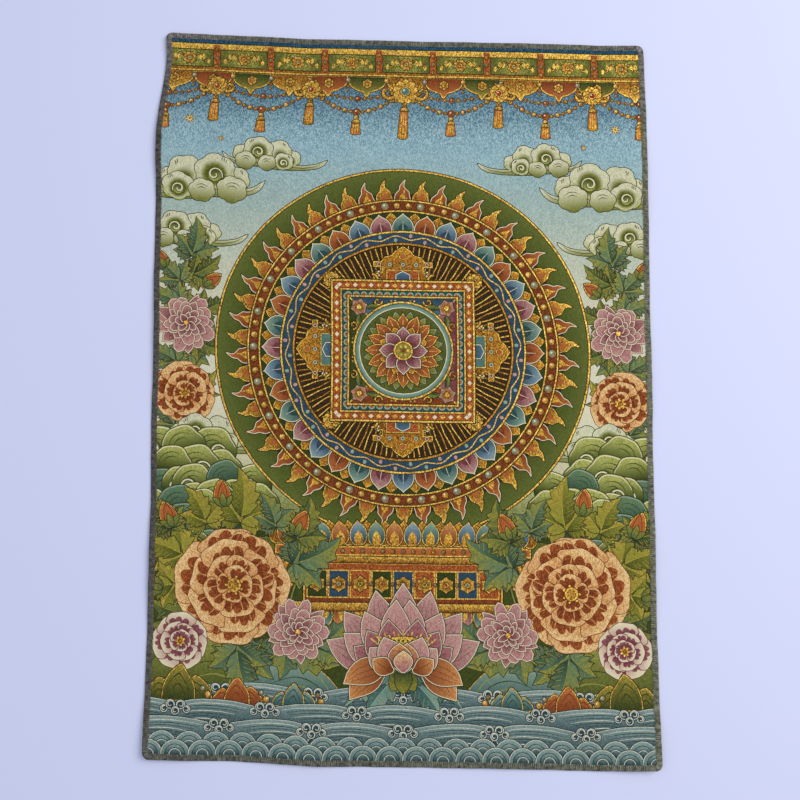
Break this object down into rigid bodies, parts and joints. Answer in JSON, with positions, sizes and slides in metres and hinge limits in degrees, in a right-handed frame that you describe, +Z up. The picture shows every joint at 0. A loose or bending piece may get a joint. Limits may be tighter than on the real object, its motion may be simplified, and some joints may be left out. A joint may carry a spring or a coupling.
{
  "type": "woven brocade thangka panel",
  "caption": "Flat woven brocade hanging panel with a whipped thread edge, lying face up, ready to be mounted, framed or hung.",
  "frame": {"origin": "centre of the panel's outline, on the surface it lies on", "axes": "+Z up out of the picture's face, +Y towards the picture's top edge"},
  "size_m": [0.6142, 0.8904, 0.0075],
  "materials": {
    "brocade": "jacquard brocade in muted colours with dull gold thread, soft sheen on the gold",
    "edge_thread": "grey-brown overlocking thread, matt"
  },
  "bodies": {
    "root": {"thangka_panel": "brocade"}
  },
  "joints": []
}
